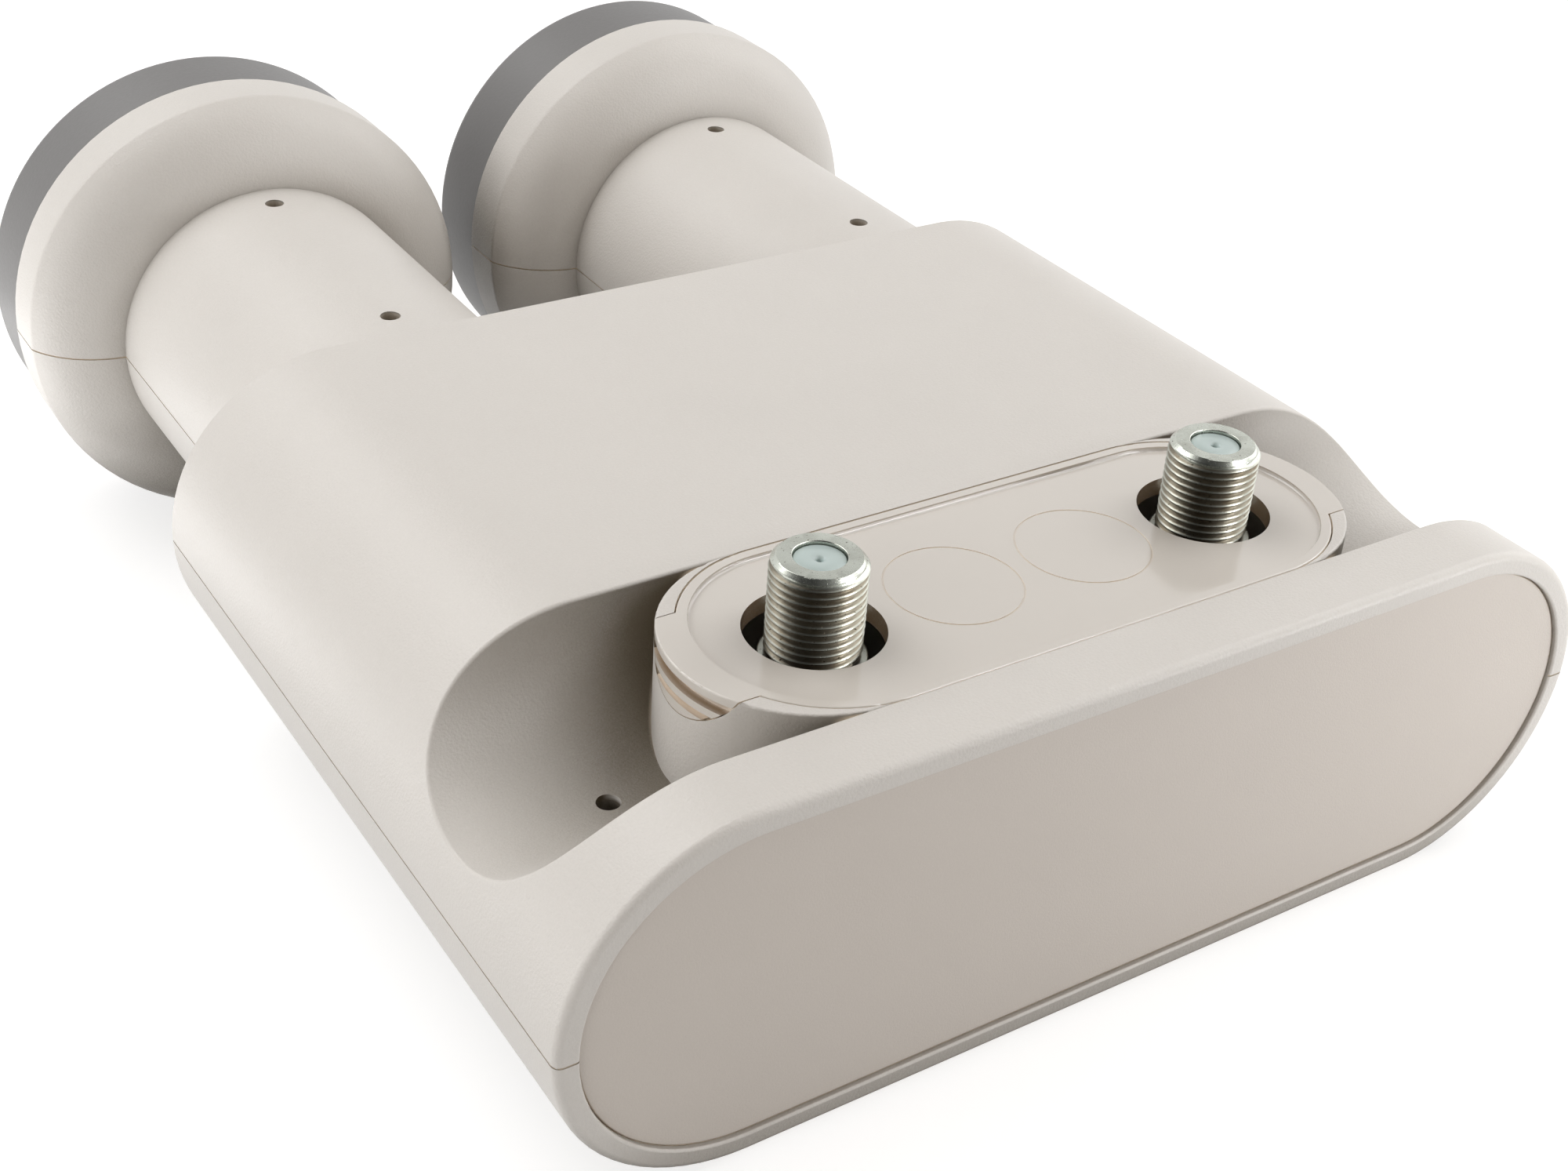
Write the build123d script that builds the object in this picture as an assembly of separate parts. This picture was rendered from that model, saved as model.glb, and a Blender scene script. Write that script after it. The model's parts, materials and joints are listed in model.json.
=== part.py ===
"""Twin-feed satellite LNB: a flat housing with two feeds, two F outputs and a slide-out weather shield.

X runs across the housing, Y along the feeds towards the dish, and Z the way the outputs point.
Each piece is drawn with Y = 0 on the end face and Z = 0 on the feed axes. Then it is moved so that
the origin lies under the middle of the whole part, level with the lowest line of the flanges.
All sizes are in millimetres.
"""

import os
from math import sqrt

from build123d import *

# Housing: a flat bar of stadium section, split in two at the plane of the feed axes
body_width = 126.0
body_height = 40.4
body_length = 95.0
wall = 2.2
end_edge_round = 0.9
rear_edge_round = 0.15
parting_groove_depth = 0.3
parting_groove_height = 0.1

# End plate, let into a rim round the open end of the housing
rim_width = 2.4
rim_edge_round = 0.3
plate_sink = 0.6
plate_thickness = 2.0
plate_gap = 0.05
plate_edge_round = 0.2
ledge_width = 1.5
ledge_depth = 1.6

# Necks and flanges: a 40 mm collar for the dish's clamp, then a bowl that opens to the flange
flange_gap = 6.2
neck_diameter = 40.0
neck_length = 46.5
flange_diameter = 60.4
flange_rim_width = 6.7
bowl_depth = 7.2
bowl_radius = 12.25
bowl_edge_round = 1.6
neck_rib_thickness = 2.0
neck_rib_inset = 12.0
drain_diameter = 2.4
neck_drain_inset = 4.8

# Caps over the feed horns
cap_step = 0.6
cap_height = 13.0
cap_wall = 1.6
cap_edge_round = 1.6
spigot_length = 4.6
spigot_wall = 1.3
spigot_gap = 0.15
cap_seat_depth = 2.6

# Outlet: the well for the weather shield and the finger pockets at both its ends
outlet_y = 21.9
tower_length = 79.3
tower_width = 28.3
tower_end_wall = 2.1
tower_edge_round = 0.3
pocket_radius = 13.9
pocket_depth = 13.3
pocket_wall = 2.0
pocket_edge_round = 0.4
pocket_drain_gap = 6.55
well_wall = 1.6
well_floor_gap = 1.6
scallop_radius = 8.5
scallop_depth = 4.8

# Weather shield, which slides out of the well along the outputs
shield_gap = 0.12
shield_floor_gap = 1.0
shield_travel = 18.0
shield_rim_width = 1.1
shield_sink = 0.5
shield_step_round = 0.4
shield_edge_round = 0.2
shield_plate_thickness = 2.0
skirt_wall = 1.4
output_hole_diameter = 14.0
knockout_diameter = 14.2
knockout_groove_width = 0.2
knockout_groove_depth = 0.08
grip_lip_height = 0.9
grip_rib_height = 0.8
grip_rib_pitch = 1.55
grip_groove_depth = 1.0
grip_first_groove = 1.2
lug_spacing = 30.0
lug_width = 8.0
lug_height = 2.0
lug_reach = 1.0
lug_gap = 0.3

# F sockets on the casting's bosses
output_pitch = 16.3
thread_diameter = 9.525
thread_length = 10.7
output_stand = 8.0
socket_chamfer = 0.7
collar_diameter = 10.8
collar_height = 3.0
spigot_diameter = 8.0
socket_spigot_length = 8.0
socket_bore = 5.2
insulator_recess = 0.9
insulator_face = 0.8
insulator_entry = 1.3
insulator_entry_cone = 0.35
clip_diameter = 2.3
clip_length = 11.0
stem_diameter = 1.0
seal_thickness = 1.0
fit_gap = 0.05

# Casting: a shallow tray under two waveguides that end in choke rings
tray_inset = 6.0
tray_rear_gap = 5.0
tray_side_gap = 17.0
tray_wall = 2.0
tray_corner = 4.0
tray_roof = 1.8
pad_height = 1.4
pad_diameter = 8.0
pad_inset = 15.0
board_rib_width = 1.6
cover_thickness = 1.0
cover_rib_height = 0.6
boss_diameter = 13.0
stem_hole_diameter = 4.0
guide_bore = 17.5
guide_wall = 2.2
guide_reach = 42.2
guide_end = 2.5
guide_rib_gap = 0.2
roof_gap = 0.25
choke_plate = 2.5
choke_gap = 0.2
choke_ring_wall = 1.5
choke_ring_height = 8.5
choke_lip_height = 10.5
choke_outer_wall = 2.3
choke_outer_height = 7.0
cap_seal_section = 1.7
cap_seal_squeeze = 0.05

# Converter board and what stands on it
board_thickness = 0.8
board_side_gap = 3.0
board_end_gap = 8.0
board_corner = 2.0
probe_diameter = 1.2
probe_hole_diameter = 3.2
probe_reach = 5.0
probe_backshort = 9.2
cross_probe_backshort = 21.2
chip_size = 5.0
chip_height = 0.9
chip_pitch = 12.0
chip_rows = 3

# Screws of the tray's cover
screw_diameter = 2.3
screw_hole_gap = 0.05
screw_clearance = 0.25
screw_length = 4.2
screw_head_diameter = 4.4
screw_head_height = 1.1
screw_boss_diameter = 5.2
screw_inset_x = 5.0
screw_inset_y = 5.0
screw_columns = 3

# Levels and stations that follow from those sizes
top = body_height / 2
inner_top = top - wall
neck_radius = neck_diameter / 2
flange_radius = flange_diameter / 2
feed_spacing = flange_diameter + flange_gap
flange_start = body_length + neck_length
rim_start = flange_start + bowl_depth
flange_face = rim_start + flange_rim_width
overall_length = flange_face + cap_height
tower_radius = tower_width / 2
tower_arc_x = (tower_length - tower_width) / 2
well_length = tower_length - 2 * tower_end_wall
shield_length = well_length - 2 * shield_gap
shield_width = tower_width - 2 * shield_gap
shield_plate_top = top - shield_sink
pocket_axis_z = top - pocket_depth + pocket_radius
scallop_axis_z = top - scallop_depth + scallop_radius
output_x = 1.5 * output_pitch
knockout_x = 0.5 * output_pitch
socket_top = shield_plate_top + output_stand
collar_top = socket_top - thread_length
collar_bottom = collar_top - collar_height
boss_top = collar_bottom - seal_thickness
insulator_top = socket_top - insulator_recess
guide_bore_radius = guide_bore / 2
guide_radius = guide_bore_radius + guide_wall
guide_start = body_length - guide_reach
probe_row = guide_start + probe_backshort
cross_probe_row = guide_start + cross_probe_backshort
cover_bottom = pad_height - inner_top
cover_top = cover_bottom + cover_thickness
board_bottom = cover_top + cover_rib_height
board_top = board_bottom + board_thickness
roof_bottom = -guide_radius - roof_gap
roof_top = roof_bottom + tray_roof
well_bottom = roof_top + well_floor_gap
shield_bottom = well_bottom + shield_floor_gap
tray_length = body_length - tray_inset - tray_rear_gap
tray_width = body_width - 2 * tray_side_gap
tray_middle_y = tray_inset + tray_length / 2
board_length = tray_length - 2 * board_end_gap
board_width = tray_width - 2 * board_side_gap
spigot_radius = flange_radius - wall - spigot_gap
choke_radius = spigot_radius - spigot_wall - choke_gap
choke_start = flange_face - spigot_length

sides = {"left": -1, "right": 1}


def along_y(section, start, end):
    """Extrude a section drawn in X and Z from one station along Y to another."""
    return extrude(Plane.XZ.offset(-start) * section, amount=start - end)


def along_z(plan, bottom, top_level):
    """Extrude a plan drawn in X and Y from one level to another."""
    return extrude(Plane.XY.offset(bottom) * plan, amount=top_level - bottom)


def post(x, y, diameter, bottom, top_level):
    """A round post that stands along Z."""
    return along_z(Pos(x, y) * Circle(diameter / 2), bottom, top_level)


def cross_bar(radius, y, z, start_x, end_x):
    """A round bar that lies along X."""
    return extrude(Plane.YZ.offset(start_x) * Pos(y, z) * Circle(radius), amount=end_x - start_x)


def outlet_plan(length, width):
    """A stadium in plan, centred on the outlet."""
    return Pos(0, outlet_y) * SlotOverall(length, width)


def turned(points):
    """A ring or disc turned about a feed axis, from the corners of its half section."""
    return revolve(make_face(Polyline(*points, close=True)), Axis.Y)


def both_feeds(solid):
    """The same turned piece on both feed axes."""
    return [Pos(side * feed_spacing / 2) * solid for side in sides.values()]


def bowl_centre():
    """Centre (radius, station) of the arc that joins the neck to the flange's rim."""
    rise = flange_radius - neck_radius
    chord = sqrt(rise**2 + bowl_depth**2)
    height = sqrt(bowl_radius**2 - (chord / 2) ** 2)
    radius = (neck_radius + flange_radius) / 2 - height * bowl_depth / chord
    station = (flange_start + rim_start) / 2 + height * rise / chord
    return radius, station


def bowl_station(radius, inset):
    """Where the bowl, shrunk by an inset, crosses a radius."""
    centre_radius, centre_station = bowl_centre()
    return centre_station - sqrt((bowl_radius - inset) ** 2 - (radius - centre_radius) ** 2)


def feed_form(inset, start, edge_round=0.0):
    """Neck, bowl and flange about a feed axis, shrunk by an inset."""
    neck = neck_radius - inset
    rim = flange_radius - inset
    middle = (neck + rim) / 2
    low, half, high = [(radius, bowl_station(radius, inset)) for radius in (neck, middle, rim)]
    outline = Polyline(high, (rim, flange_face), (0, flange_face), (0, start), (neck, start), low)
    section = make_face(outline.edges() + ThreePointArc(low, half, high).edges())
    if edge_round:
        shoulder = section.vertices().sort_by_distance((*high, 0))[0]
        section = fillet(shoulder, edge_round)
    return revolve(section, Axis.Y)


def body_form(inset, start, end):
    """The flat bar of the housing, shrunk by an inset, between two stations."""
    return along_y(SlotOverall(body_width - 2 * inset, body_height - 2 * inset), start, end)


def housing_form(inset):
    """Bar, necks and flanges in one closed form, shrunk by an inset."""
    return body_form(inset, inset, body_length - inset) + both_feeds(feed_form(inset, body_length - wall))


def housing_outside():
    """The housing's outer form, with its end edge and flange shoulders rounded."""
    bar = body_form(0, 0, body_length)
    bar = fillet(bar.faces().sort_by(Axis.Y)[0].edges(), end_edge_round)
    bar = fillet(bar.faces().sort_by(Axis.Y)[-1].edges(), rear_edge_round)
    return bar + both_feeds(feed_form(0, body_length - wall, bowl_edge_round))


def housing_cavity():
    """The room inside the housing: plate seat, ledge opening, bar and feeds."""
    seat_end = plate_sink + plate_thickness
    ledge_end = seat_end + ledge_depth
    room = body_form(rim_width, 0, seat_end)
    room += body_form(rim_width + ledge_width, seat_end, ledge_end)
    room += body_form(wall, ledge_end, body_length - wall)
    return room + both_feeds(feed_form(wall, body_length - wall))


def neck_ribs():
    """Rings inside the necks that hold the waveguides on the feed axes."""
    inner = guide_radius + guide_rib_gap
    outer = neck_radius - wall / 2
    rings = []
    for station in (body_length + neck_rib_inset, flange_start - neck_rib_inset):
        end = station + neck_rib_thickness
        rings += both_feeds(turned([(inner, station), (outer, station), (outer, end), (inner, end)]))
    return rings


def parting_groove(low, high):
    """The fine groove that the two halves leave along their outer edge."""
    slab = Pos(0, overall_length / 2) * Box(2 * body_width, 2 * overall_length, high - low)
    return Pos(0, 0, (low + high) / 2) * slab - housing_form(parting_groove_depth)


def channel(grown):
    """The round channel across the housing that makes the finger pockets, grown by a wall."""
    return cross_bar(pocket_radius + grown, outlet_y, pocket_axis_z, -body_width / 2, body_width / 2)


def outlet_block(length, width, bottom, edge_round):
    """A stadium block that ends level with the housing's top, with its top edge rounded."""
    block = along_z(outlet_plan(length, width), bottom, top)
    return fillet(block.faces().sort_by(Axis.Z)[-1].edges(), edge_round)


def open_shell(outside, room):
    """The hollow housing, with the inner edge of its end rim rounded."""
    shell = outside - room
    rim = shell.faces().sort_by(Axis.Y)[0]
    return fillet(rim.inner_wires()[0].edges(), rim_edge_round)


def scallop(inset):
    """The round bite in the tower's end walls where the shield's grips lie, shrunk by an inset."""
    reach = tower_length / 2
    return cross_bar(scallop_radius - inset, outlet_y, scallop_axis_z, -reach, reach)


def shield_lugs(gap, height):
    """The stops on the skirt's long sides, or with a gap the windows that they travel in."""
    depth = shield_width + 2 * (lug_reach + gap)
    lugs = []
    for x in (-lug_spacing / 2, lug_spacing / 2):
        lug = Box(lug_width + 2 * gap, depth, height, align=(Align.CENTER, Align.CENTER, Align.MIN))
        lugs.append(Pos(x, outlet_y, shield_bottom) * lug)
    return lugs


def well_walls(bottom, top_level):
    """The walls that guide the shield's skirt inside the housing."""
    plan = outlet_plan(well_length + 2 * well_wall, tower_width + 2 * well_wall)
    return along_z(plan, bottom, top_level)


def drains():
    """Drain holes along the necks' tops and in the pockets' floors."""
    holes = []
    for side in sides.values():
        for y in (body_length + neck_drain_inset, flange_start - neck_drain_inset):
            holes.append(post(side * feed_spacing / 2, y, drain_diameter, 0, top + wall))
        pocket_x = side * (tower_length / 2 + pocket_drain_gap)
        holes.append(post(pocket_x, outlet_y, drain_diameter, 0, top))
    return holes


def upper_housing():
    """Upper half of the shell, with the outlet well, the pockets and the drain holes."""
    bar = housing_outside() - channel(0)
    pocket_floor = bar.faces().sort_by_distance((0, outlet_y, top - pocket_depth))[0]
    bar = fillet(pocket_floor.edges(), pocket_edge_round) + outlet_block(
        tower_length, tower_width, well_bottom, tower_edge_round
    )
    room = housing_cavity() - channel(pocket_wall) - well_walls(-top, top)
    shell = split(open_shell(bar, room), bisect_by=Plane.XY, keep=Keep.TOP)
    shell += [split(ring, bisect_by=Plane.XY, keep=Keep.TOP) for ring in neck_ribs()]
    shell += well_walls(well_bottom, 0)
    shell -= along_z(outlet_plan(well_length, tower_width), well_bottom, top)
    shell -= scallop(0)
    shell -= shield_lugs(lug_gap, lug_height + shield_travel + lug_gap)
    shell -= drains()
    return shell - parting_groove(0, parting_groove_height)


def lower_housing():
    """Lower half of the shell, with the pads that carry the casting."""
    shell = open_shell(housing_outside(), housing_cavity())
    shell = split(shell, bisect_by=Plane.XY, keep=Keep.BOTTOM)
    shell += [split(ring, bisect_by=Plane.XY, keep=Keep.BOTTOM) for ring in neck_ribs()]
    reach = tray_width / 2 - pad_inset
    for x in (-reach, reach):
        for y in (tray_inset + pad_inset, tray_inset + tray_length - pad_inset):
            shell += post(x, y, pad_diameter, -inner_top - wall / 2, cover_bottom)
    return shell - parting_groove(-parting_groove_height, 0)


def end_plate():
    """Flat plate that closes the near end, sunk a little below the rim."""
    plate = body_form(rim_width + plate_gap, plate_sink, plate_sink + plate_thickness)
    return fillet(plate.faces().sort_by(Axis.Y)[0].edges(), plate_edge_round)


def weather_shield():
    """Sliding shield: sunk plate in a rim, skirt with stops, and a ribbed grip at each end."""
    shield = outlet_block(shield_length, shield_width, shield_bottom, shield_edge_round)
    grips = outlet_block(tower_length, tower_width, top - scallop_depth, shield_edge_round)
    shield += grips & scallop(shield_gap)
    grip_top = top - grip_lip_height
    groove_heights = (grip_first_groove, grip_rib_pitch - grip_rib_height)
    for side in sides.values():
        outside = Pos(side * tower_arc_x, outlet_y) * Circle(2 * tower_radius)
        outside -= Pos(side * tower_arc_x, outlet_y) * Circle(tower_radius - grip_groove_depth)
        outside &= Pos(side * tower_length / 2, outlet_y) * Rectangle(tower_radius, tower_width)
        level = grip_top
        for height in groove_heights:
            shield -= along_z(outside, level - height, level)
            level -= height + grip_rib_height
    sunk = outlet_plan(shield_length - 2 * shield_rim_width, shield_width - 2 * shield_rim_width)
    shield -= along_z(sunk, shield_plate_top, top)
    plate = shield.faces().sort_by_distance((0, outlet_y, shield_plate_top))[0]
    shield = fillet(plate.edges(), shield_step_round)
    inside = outlet_plan(shield_length - 2 * skirt_wall, shield_width - 2 * skirt_wall)
    shield += shield_lugs(0, lug_height)
    shield -= along_z(inside, shield_bottom, shield_plate_top - shield_plate_thickness)
    for side in sides.values():
        shield -= post(side * output_x, outlet_y, output_hole_diameter, shield_bottom, top)
        ring = Circle(knockout_diameter / 2) - Circle(knockout_diameter / 2 - knockout_groove_width)
        ring_plan = Pos(side * knockout_x, outlet_y) * ring
        shield -= along_z(ring_plan, shield_plate_top - knockout_groove_depth, top)
    return shield


def feed_cap():
    """Cup that closes a feed horn, with a spigot inside the flange."""
    outer = flange_radius - cap_step
    bore = spigot_radius - spigot_wall
    room = outer - cap_wall
    seat = flange_face + cap_seat_depth
    ceiling = overall_length - cap_wall
    corners = [(0, overall_length), (outer, overall_length), (outer, flange_face)]
    corners += [(spigot_radius, flange_face), (spigot_radius, choke_start), (bore, choke_start)]
    corners += [(bore, seat), (room, seat)]
    corners += [(room, ceiling), (0, ceiling)]
    cap = turned(corners)
    rim = cap.edges().filter_by(GeomType.CIRCLE).sort_by(Axis.Y)[-1]
    return fillet(rim, cap_edge_round)


def cap_seal():
    """Sealing ring between the cap's spigot and the casting's outer ring."""
    ring_radius = spigot_radius - spigot_wall - cap_seal_squeeze - cap_seal_section / 2
    station = choke_start + choke_plate + choke_outer_height / 2
    return revolve(Pos(ring_radius, station) * Circle(cap_seal_section / 2), Axis.Y)


def waveguide():
    """Round waveguide, closed at its inner end, with the choke rings round its mouth."""
    plate_end = choke_start + choke_plate
    bore = guide_bore_radius
    lip_end = plate_end + choke_lip_height
    corners = [(0, guide_start), (guide_radius, guide_start), (guide_radius, choke_start)]
    corners += [(choke_radius, choke_start), (choke_radius, plate_end + choke_outer_height)]
    corners += [(choke_radius - choke_outer_wall, plate_end + choke_outer_height)]
    corners += [(choke_radius - choke_outer_wall, plate_end), (bore + choke_ring_wall, plate_end)]
    corners += [(bore + choke_ring_wall, lip_end), (bore, lip_end)]
    corners += [(bore, guide_start + guide_end), (0, guide_start + guide_end)]
    guide = turned(corners)
    inner = (bore + choke_ring_wall + choke_radius - choke_outer_wall - choke_ring_wall) / 2
    outer = inner + choke_ring_wall
    ring_end = plate_end + choke_ring_height
    guide += turned([(inner, plate_end), (outer, plate_end), (outer, ring_end), (inner, ring_end)])
    groove_floor = spigot_radius - spigot_wall - 2 * cap_seal_squeeze - cap_seal_section
    middle = plate_end + choke_outer_height / 2
    low = middle - cap_seal_section / 2 - cap_seal_squeeze
    high = middle + cap_seal_section / 2 + cap_seal_squeeze
    guide -= turned([(groove_floor, low), (choke_radius, low), (choke_radius, high), (groove_floor, high)])
    return guide


def screw_places():
    """Where the cover's screws stand, along both ends of the tray."""
    first = screw_inset_x - tray_width / 2
    step = -2 * first / (screw_columns - 1)
    ends = (tray_inset + screw_inset_y, tray_inset + tray_length - screw_inset_y)
    return [(first + column * step, y) for y in ends for column in range(screw_columns)]


def board_ribs(bottom, top_level):
    """Three ribs along the board, which hold it from above or from below."""
    ribs = []
    for x in (board_rib_width / 2 - board_width / 2, 0, board_width / 2 - board_rib_width / 2):
        plan = Pos(x, tray_middle_y) * Rectangle(board_rib_width, board_length)
        ribs.append(along_z(plan, bottom, top_level))
    return ribs


def probe_stand(side):
    """Across a feed from its axis to the upright of the cross probe."""
    return side * (feed_spacing / 2 - guide_radius - 2 * probe_diameter)


def feed_casting():
    """Die-cast chassis: tray with its bosses, and both waveguides."""
    plan = Pos(0, tray_middle_y) * RectangleRounded(tray_width, tray_length, tray_corner)
    room_width = tray_width - 2 * tray_wall
    room_length = tray_length - 2 * tray_wall
    inside = RectangleRounded(room_width, room_length, tray_corner - tray_wall)
    tray = along_z(plan, cover_top, roof_top)
    tray -= along_z(Pos(0, tray_middle_y) * inside, cover_top, roof_bottom)
    tray += board_ribs(board_top, roof_bottom)
    for x, y in screw_places():
        tray += post(x, y, screw_boss_diameter, cover_top, roof_bottom)
    for side in sides.values():
        tray += post(side * output_x, outlet_y, boss_diameter, roof_top, boss_top)
    for guide in both_feeds(waveguide()):
        tray += guide
    for x, y in screw_places():
        tray -= post(x, y, screw_diameter + 2 * screw_hole_gap, cover_top, roof_bottom)
    for side in sides.values():
        socket_floor = collar_bottom - socket_spigot_length
        tray -= post(side * output_x, outlet_y, spigot_diameter + 2 * fit_gap, socket_floor, boss_top)
        tray -= post(side * output_x, outlet_y, stem_hole_diameter, roof_bottom, boss_top)
        tray -= post(side * feed_spacing / 2, probe_row, probe_hole_diameter, roof_bottom, 0)
        stand = probe_stand(side)
        tray -= post(stand, cross_probe_row, probe_hole_diameter, roof_bottom, probe_hole_diameter)
        tray -= cross_bar(probe_hole_diameter / 2, cross_probe_row, 0, stand, side * feed_spacing / 2)
    return tray


def casting_cover():
    """Flat lid under the tray, with ribs that press the board home."""
    plan = Pos(0, tray_middle_y) * RectangleRounded(tray_width, tray_length, tray_corner)
    cover = along_z(plan, cover_bottom, cover_top)
    cover += board_ribs(cover_top, board_bottom)
    for x, y in screw_places():
        cover -= post(x, y, screw_diameter + 2 * screw_clearance, cover_bottom, cover_top)
    return cover


def cover_screws():
    """Pan-head screws that hold the cover."""
    screws = []
    for x, y in screw_places():
        screw = post(x, y, screw_head_diameter, cover_bottom - screw_head_height, cover_bottom)
        screws.append(screw + post(x, y, screw_diameter, cover_bottom, cover_bottom + screw_length))
    return screws


def circuit_board():
    """Converter board, held between the ribs of the tray and of the cover."""
    plan = Pos(0, tray_middle_y) * RectangleRounded(board_width, board_length, board_corner)
    return along_z(plan, board_bottom, board_top)


def converter_chips():
    """Flat packages on the board's upper side."""
    chips = []
    for x in (-chip_pitch, chip_pitch):
        for row in range(chip_rows):
            y = tray_middle_y + (row - (chip_rows - 1) / 2) * chip_pitch
            plan = Pos(x, y) * Rectangle(chip_size, chip_size)
            chips.append(along_z(plan, board_top, board_top + chip_height))
    return chips


def feed_probes():
    """A straight and a cross probe in each waveguide, all standing on the board."""
    probes = []
    for side in sides.values():
        axis_x = side * feed_spacing / 2
        probes.append(post(axis_x, probe_row, probe_diameter, board_top, probe_reach - guide_bore_radius))
        stand = probe_stand(side)
        tip = axis_x - side * (guide_bore_radius - probe_reach)
        upright = post(stand, cross_probe_row, probe_diameter, board_top, probe_diameter / 2)
        probes.append(upright + cross_bar(probe_diameter / 2, cross_probe_row, 0, stand, tip))
    return probes


def f_connector(x):
    """Threaded F socket: threaded barrel, collar and a spigot in the casting's boss."""
    barrel = post(x, outlet_y, thread_diameter, collar_top, socket_top)
    barrel = chamfer(barrel.faces().sort_by(Axis.Z)[-1].edges(), socket_chamfer)
    barrel += post(x, outlet_y, collar_diameter, collar_bottom, collar_top)
    barrel += post(x, outlet_y, spigot_diameter, collar_bottom - socket_spigot_length, collar_bottom)
    return barrel - post(x, outlet_y, socket_bore, collar_bottom - socket_spigot_length, socket_top)


def f_insulator(x):
    """White insulator in the socket, with a coned entry for the cable's inner wire."""
    bottom = collar_bottom - socket_spigot_length
    sleeve = post(x, outlet_y, socket_bore - 2 * fit_gap, bottom, insulator_top)
    sleeve -= post(x, outlet_y, clip_diameter + 2 * fit_gap, bottom, insulator_top - insulator_face)
    sleeve -= post(x, outlet_y, insulator_entry, bottom, insulator_top)
    entry = sleeve.faces().sort_by(Axis.Z)[-1].inner_wires()[0].edges()
    return chamfer(entry, insulator_entry_cone)


def f_contact(x):
    """Spring clip for the cable's inner wire, on a stem from the board."""
    clip_top = insulator_top - insulator_face
    clip = post(x, outlet_y, clip_diameter, clip_top - clip_length, clip_top)
    clip -= post(x, outlet_y, insulator_entry, clip_top - clip_length / 2, clip_top)
    return clip + post(x, outlet_y, stem_diameter, board_top, clip_top - clip_length)


def connector_seal(x):
    """Flat sealing ring between a socket's collar and its boss."""
    seal = post(x, outlet_y, collar_diameter, boss_top, collar_bottom)
    return seal - post(x, outlet_y, spigot_diameter + 2 * fit_gap, boss_top, collar_bottom)


def all_pieces():
    """Every piece of the part under its own name."""
    pieces = {
        "upper_housing": upper_housing(),
        "lower_housing": lower_housing(),
        "end_plate": end_plate(),
        "weather_shield": weather_shield(),
        "feed_casting": feed_casting(),
        "casting_cover": casting_cover(),
        "cover_screws": cover_screws(),
        "circuit_board": circuit_board(),
        "converter_chips": converter_chips(),
        "feed_probes": feed_probes(),
    }
    for name, side in sides.items():
        feed = Pos(side * feed_spacing / 2)
        pieces[f"feed_cap_{name}"] = feed * feed_cap()
        pieces[f"cap_seal_{name}"] = feed * cap_seal()
        pieces[f"f_connector_{name}"] = f_connector(side * output_x)
        pieces[f"f_insulator_{name}"] = f_insulator(side * output_x)
        pieces[f"f_contact_{name}"] = f_contact(side * output_x)
        pieces[f"connector_seal_{name}"] = connector_seal(side * output_x)
    return pieces


def main():
    """Place each piece in the part's frame and write it out."""
    os.makedirs("parts", exist_ok=True)
    place = Pos(0, -overall_length / 2, flange_radius)
    for name, piece in all_pieces().items():
        solids = piece if isinstance(piece, list) else [piece]
        group = Compound(children=[place * solid for shape in solids for solid in shape.solids()])
        export_step(group, f"parts/{name}.step")


main()
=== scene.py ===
"""Looks of a twin-feed satellite LNB, built round its fixed CAD frame and laid out as an add-on.

Lengths are in metres, in the part's own frame: X runs across the housing, Y along the feeds towards
the dish, and Z the way the coaxial outputs point.
"""

import json
import math
from typing import NamedTuple

import bmesh
import bpy
from bpy.props import FloatProperty, FloatVectorProperty, IntProperty, PointerProperty
from mathutils import Matrix, Vector


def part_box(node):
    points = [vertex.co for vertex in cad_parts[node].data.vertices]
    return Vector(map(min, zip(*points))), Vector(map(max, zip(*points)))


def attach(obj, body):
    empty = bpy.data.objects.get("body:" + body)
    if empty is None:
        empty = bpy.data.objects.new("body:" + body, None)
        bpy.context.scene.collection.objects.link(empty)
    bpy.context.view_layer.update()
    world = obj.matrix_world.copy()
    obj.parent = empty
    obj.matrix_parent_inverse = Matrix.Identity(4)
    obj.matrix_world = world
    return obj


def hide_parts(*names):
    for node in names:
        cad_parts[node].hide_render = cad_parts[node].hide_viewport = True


bl_info = {
    "name": "Satellite LNB looks",
    "version": (1, 0, 0),
    "blender": (4, 5, 0),
    "location": "3D View > Sidebar > LNB",
    "description": "Finishes, threads, light and camera for a twin-feed satellite LNB",
    "category": "Object",
}

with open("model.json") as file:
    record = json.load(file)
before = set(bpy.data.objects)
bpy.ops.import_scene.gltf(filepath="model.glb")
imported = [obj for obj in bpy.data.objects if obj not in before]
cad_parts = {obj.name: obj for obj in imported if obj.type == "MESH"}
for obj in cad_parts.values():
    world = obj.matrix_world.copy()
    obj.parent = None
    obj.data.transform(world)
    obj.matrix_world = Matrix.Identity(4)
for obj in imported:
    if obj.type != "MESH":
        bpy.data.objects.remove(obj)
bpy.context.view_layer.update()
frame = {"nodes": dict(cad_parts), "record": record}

MM = 0.001
FULL_TURN = 2 * math.pi
SIDES = ("left", "right")

# Points closer than this are joined.
WELD = 0.002 * MM

# Edges that bend by more than these angles stay sharp.
SHELL_CREASE = math.radians(52)
SOCKET_CREASE = math.radians(62)
INSULATOR_CREASE = math.radians(50)

# Rows of points in one turn of the thread.
THREAD_ROWS = 8

# Detail of a noise whose blotches carry finer ones.
FINE = 3.0

# Painted corner shade, mixed into the base colour: the share of open sky at which it starts, and how fast it
# grows below that.
SHADE_START = 0.7
SHADE_RATE = 2.1
HOUSING_SHADE_RATE = 2.4

# How much sooner the painted shade starts in a finger pocket, and how much of it the light from the left takes
# away.
POCKET_EXTRA = 0.2
POCKET_LIGHT = 0.9
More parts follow.
